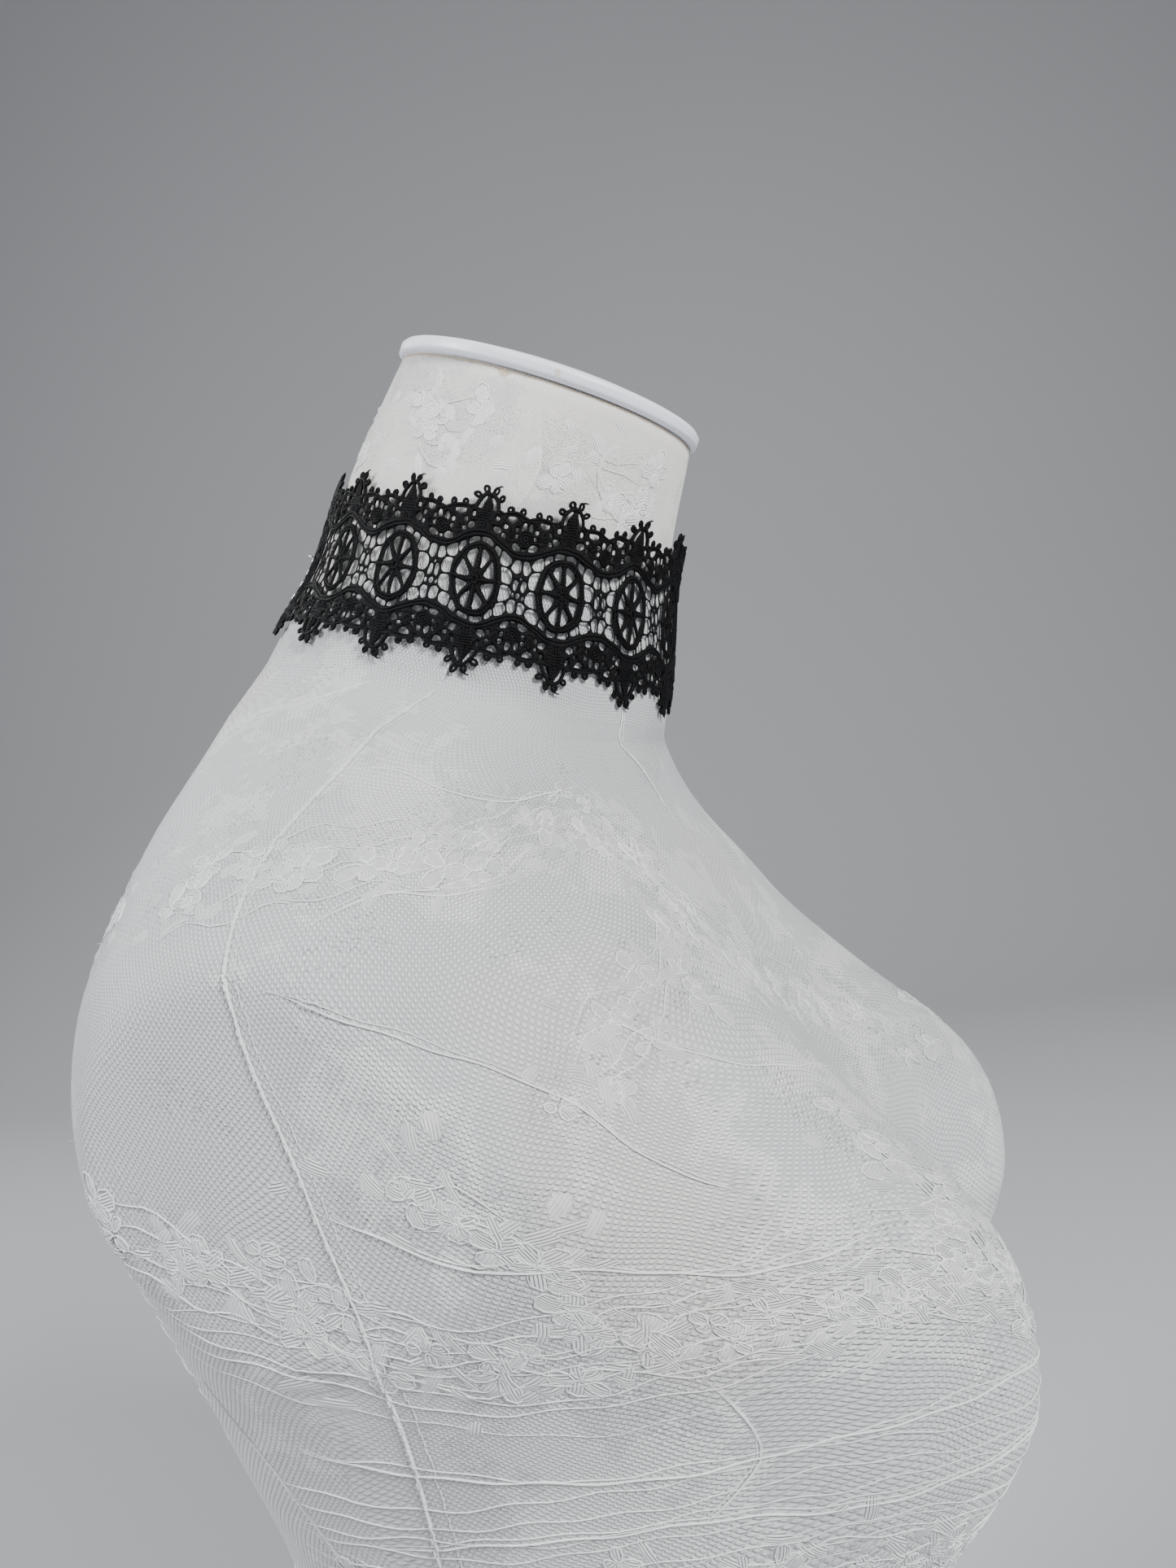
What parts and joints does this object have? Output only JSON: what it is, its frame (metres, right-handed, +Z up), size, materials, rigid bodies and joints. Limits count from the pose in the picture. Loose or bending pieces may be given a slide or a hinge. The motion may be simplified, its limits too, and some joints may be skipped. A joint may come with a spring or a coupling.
{
  "type": "lace choker on a limbless dress form",
  "caption": "Wide black guipure lace band round the neck of a white cloth-covered dress form, closed at the back by a lobster clasp on a short chain.",
  "frame": {"origin": "under the middle of the object's box, on the plane of the form's flat base", "axes": "+Z up, the form's chest toward -Y, its right side toward -X"},
  "size_m": [0.302, 0.2367, 0.5622],
  "materials": {
    "cover": "fine stretch net with raised tone-on-tone lace",
    "cap_plastic": "moulded white, soft gloss",
    "lace_thread": "embroidered thread, slight sheen",
    "silver_metal": "plated, bright"
  },
  "bodies": {
    "choker_on_form": {"form_torso": "cover", "neck_cap": "cap_plastic", "lace_right": "lace_thread", "lace_left": "lace_thread", "ring_near": "silver_metal", "ring_far": "silver_metal", "clasp": "silver_metal", "hook_link": "silver_metal", "second_link": "silver_metal"},
    "chain_tail": {"tail_link_1": "silver_metal", "tail_link_2": "silver_metal", "tail_link_3": "silver_metal", "tail_link_4": "silver_metal", "tail_link_5": "silver_metal", "tail_link_6": "silver_metal", "tail_link_7": "silver_metal", "tail_link_8": "silver_metal"}
  },
  "joints": [
    {"name": "chain_tail_swing", "type": "hinge", "parent": "choker_on_form", "child": "chain_tail", "pos_m": [-0.01307, 0.07152, 0.50147], "axis": [0.9813, 0.1827, 0.0609], "range_deg": [0, 75]}
  ]
}
